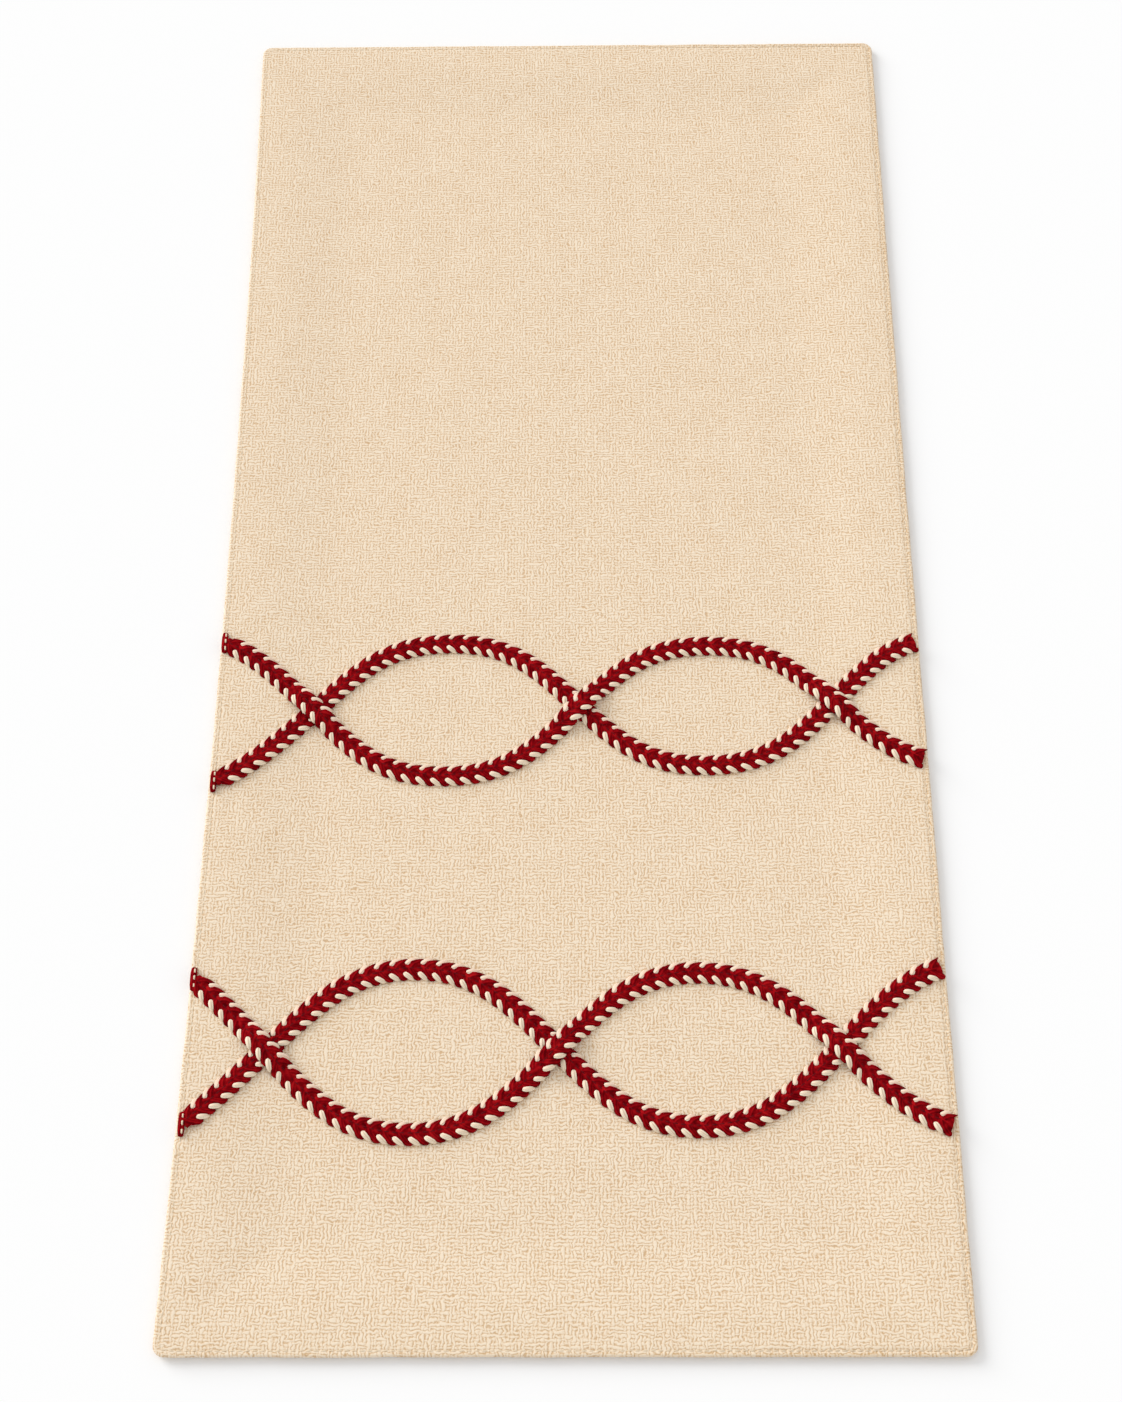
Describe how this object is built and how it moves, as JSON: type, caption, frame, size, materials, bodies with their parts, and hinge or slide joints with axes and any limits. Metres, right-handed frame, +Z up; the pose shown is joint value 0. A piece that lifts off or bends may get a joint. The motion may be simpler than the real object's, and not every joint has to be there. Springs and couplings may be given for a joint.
{
  "type": "table runner",
  "caption": "Rectangular lined table runner with two bands of crossing, wave-shaped, sewn-on herringbone braid near one end.",
  "frame": {"origin": "centre of the bounding box on the plane of the lining's underside, which rests on the table", "axes": "+Y along the length towards the plain end, +Z up through the cloth to the braided side"},
  "size_m": [0.356, 0.762, 0.0096],
  "materials": {
    "cream_crepe_cloth": "matt crepe-weave cotton, cream",
    "lining_cloth": "matt plain-weave cotton, pale cream",
    "cream_thread": "matt sewing thread, cream",
    "red_yarn": "matt plied yarn, deep red",
    "off_white_yarn": "matt plied yarn, off-white",
    "red_thread": "matt sewing thread, dark red"
  },
  "bodies": {
    "root": {"face_cloth": "cream_crepe_cloth", "lining": "lining_cloth", "edge_stitch_needle_thread": "cream_thread", "edge_stitch_bobbin_thread": "cream_thread", "far_over_braid_red_strands": "red_yarn", "far_over_braid_white_strands": "off_white_yarn", "far_over_braid_couching_thread": "red_thread", "far_under_braid_red_strands": "red_yarn", "far_under_braid_white_strands": "off_white_yarn", "far_under_braid_couching_thread": "red_thread", "near_over_braid_red_strands": "red_yarn", "near_over_braid_white_strands": "off_white_yarn", "near_over_braid_couching_thread": "red_thread", "near_under_braid_red_strands": "red_yarn", "near_under_braid_white_strands": "off_white_yarn", "near_under_braid_couching_thread": "red_thread"}
  },
  "joints": []
}
